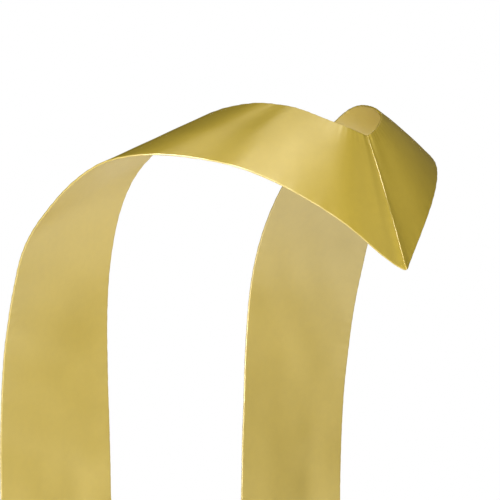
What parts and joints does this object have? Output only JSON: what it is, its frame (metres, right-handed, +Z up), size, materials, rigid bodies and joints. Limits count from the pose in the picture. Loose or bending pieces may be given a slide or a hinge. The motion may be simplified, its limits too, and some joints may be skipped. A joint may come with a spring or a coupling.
{
  "type": "graduation stole",
  "caption": "Plain gold satin graduation stole in its worn form, with a pointed back seam and two bands hanging down the front to pointed ends.",
  "frame": {"origin": "the nape: the neck end of the seam down the centre back, where the stole sits on the back of a wearer's neck", "axes": "+Z up, +X to the wearer's left, -Y to the wearer's front, with the centre back seam in the plane X = 0"},
  "size_m": [0.3804, 0.2385, 0.5608],
  "materials": {
    "gold_satin": "satin"
  },
  "bodies": {
    "root": {"left_half": "gold_satin", "right_half": "gold_satin"}
  },
  "joints": []
}
